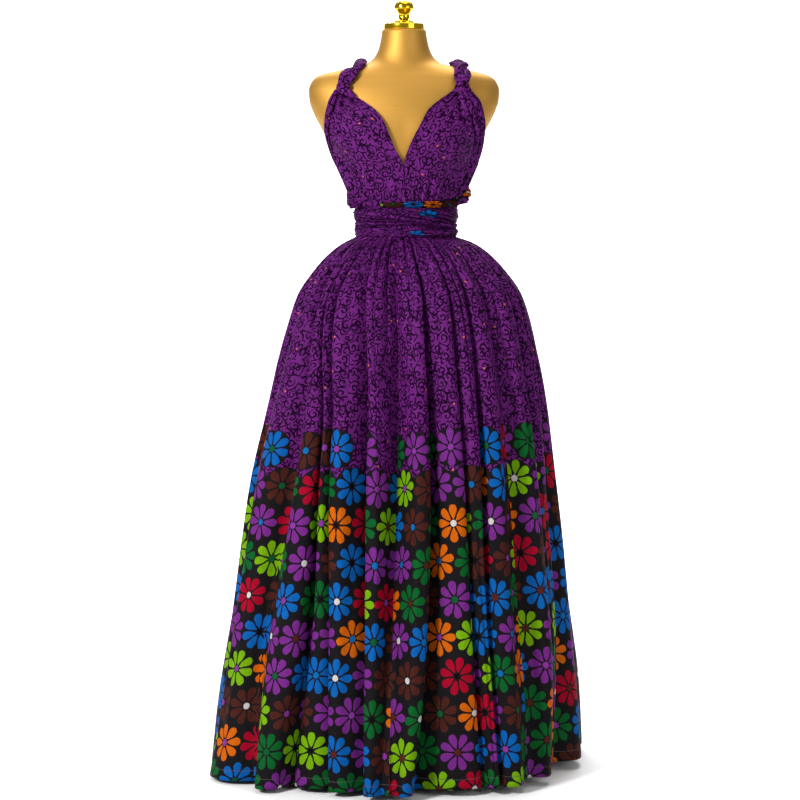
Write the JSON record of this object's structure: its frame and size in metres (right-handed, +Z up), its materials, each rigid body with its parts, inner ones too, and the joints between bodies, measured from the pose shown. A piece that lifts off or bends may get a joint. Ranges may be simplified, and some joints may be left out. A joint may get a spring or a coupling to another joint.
{
  "type": "wax print wrap-strap dress on a limbless dress form",
  "caption": "Floor-length evening dress of wax print cotton, with a deep V bodice of twisted straps, a wrapped sash and a full gathered skirt, on a limbless dress form with a round base.",
  "frame": {"origin": "middle of the whole outline seen from above, on the floor that the form's base stands on", "axes": "+Z up, the dress faces -Y, and +X is the viewer's right (the wearer's left)"},
  "size_m": [0.7525, 0.7615, 1.5254],
  "materials": {
    "wax_print": "plain-woven cotton with a slight wax sheen, printed",
    "form_satin": "gold satin cover",
    "form_gold": "polished",
    "stand_steel": "satin"
  },
  "bodies": {
    "root": {"form_torso": "form_satin", "form_neck_cap": "form_gold", "form_finial": "form_gold", "form_pole": "stand_steel", "form_base": "stand_steel", "skirt_front": "wax_print", "skirt_back": "wax_print", "waistband": "wax_print", "bodice_left": "wax_print", "bodice_right": "wax_print", "shoulder_rope_left": "wax_print", "shoulder_rope_right": "wax_print", "back_strap_left": "wax_print", "back_strap_right": "wax_print", "wrap_upper": "wax_print", "wrap_lower": "wax_print", "knot": "wax_print", "tail_left": "wax_print", "tail_right": "wax_print"}
  },
  "joints": []
}
